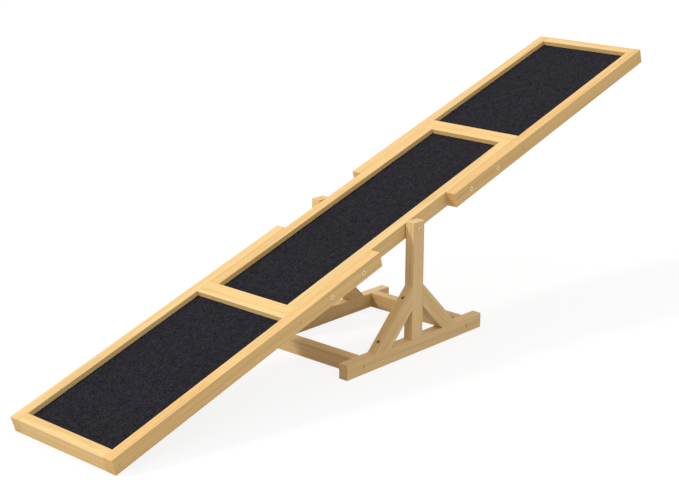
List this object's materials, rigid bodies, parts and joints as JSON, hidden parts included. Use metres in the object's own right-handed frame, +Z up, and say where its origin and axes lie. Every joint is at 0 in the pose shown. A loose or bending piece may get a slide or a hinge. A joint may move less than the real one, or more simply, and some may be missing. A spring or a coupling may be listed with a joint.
{
  "type": "agility seesaw",
  "caption": "Agility seesaw for dogs: a long timber plank with recessed grip panels that tips on pivot bolts between braced posts of a low stand.",
  "frame": {"origin": "on the floor, straight below the pivot axis and midway between the posts", "axes": "+X along the plank's plan towards its raised end, +Z up, -Y the near side; the rest pose has the -X end of the plank on the floor"},
  "size_m": [1.727, 0.3032, 0.5629],
  "materials": {
    "plank_wood": "planed softwood, satin",
    "stand_wood": "planed softwood, satin",
    "panel_wood": "plain plywood",
    "grip_sheet": "matt charcoal felt",
    "zinc_steel": "bright zinc plate",
    "dark_steel": "dark phosphate",
    "nylon": "natural nylon"
  },
  "bodies": {
    "stand": {"brace_high_far": "stand_wood", "brace_high_near": "stand_wood", "brace_low_far": "stand_wood", "brace_low_near": "stand_wood", "brace_screw_lower_high_far": "dark_steel", "brace_screw_lower_high_near": "dark_steel", "brace_screw_lower_low_far": "dark_steel", "brace_screw_lower_low_near": "dark_steel", "brace_screw_upper_high_far": "dark_steel", "brace_screw_upper_high_near": "dark_steel", "brace_screw_upper_low_far": "dark_steel", "brace_screw_upper_low_near": "dark_steel", "cross_beam_high": "stand_wood", "cross_beam_low": "stand_wood", "cross_beam_screw_high_far": "zinc_steel", "cross_beam_screw_high_near": "zinc_steel", "cross_beam_screw_low_far": "zinc_steel", "cross_beam_screw_low_near": "zinc_steel", "foot_beam_far": "stand_wood", "foot_beam_near": "stand_wood", "post_far": "stand_wood", "post_near": "stand_wood"},
    "plank": {"crossbar_high": "plank_wood", "crossbar_low": "plank_wood", "crossbar_screw_high_far": "zinc_steel", "crossbar_screw_high_near": "zinc_steel", "crossbar_screw_low_far": "zinc_steel", "crossbar_screw_low_near": "zinc_steel", "end_rail_high": "plank_wood", "end_rail_low": "plank_wood", "end_rail_screw_high_far": "zinc_steel", "end_rail_screw_high_near": "zinc_steel", "end_rail_screw_low_far": "zinc_steel", "end_rail_screw_low_near": "zinc_steel", "grip_sheet_high": "grip_sheet", "grip_sheet_low": "grip_sheet", "grip_sheet_middle": "grip_sheet", "inner_rail_far": "plank_wood", "inner_rail_near": "plank_wood", "outer_rail_high_far": "plank_wood", "outer_rail_high_near": "plank_wood", "outer_rail_low_far": "plank_wood", "outer_rail_low_near": "plank_wood", "overlap_bolt_1_high_far": "zinc_steel", "overlap_bolt_1_high_near": "zinc_steel", "overlap_bolt_1_low_far": "zinc_steel", "overlap_bolt_1_low_near": "zinc_steel", "overlap_bolt_2_high_far": "zinc_steel", "overlap_bolt_2_high_near": "zinc_steel", "overlap_bolt_2_low_far": "zinc_steel", "overlap_bolt_2_low_near": "zinc_steel", "panel_high": "panel_wood", "panel_low": "panel_wood", "panel_middle": "panel_wood", "pivot_bolt_far": "zinc_steel", "pivot_bolt_near": "zinc_steel", "pivot_insert_far": "zinc_steel", "pivot_insert_near": "zinc_steel", "pivot_spacer_far": "nylon", "pivot_spacer_near": "nylon"}
  },
  "joints": [
    {"name": "plank_tilt", "type": "hinge", "parent": "stand", "child": "plank", "pos_m": [0, 0, 0.28145], "axis": [0, 1, 0], "range_deg": [0, 34.33]}
  ]
}
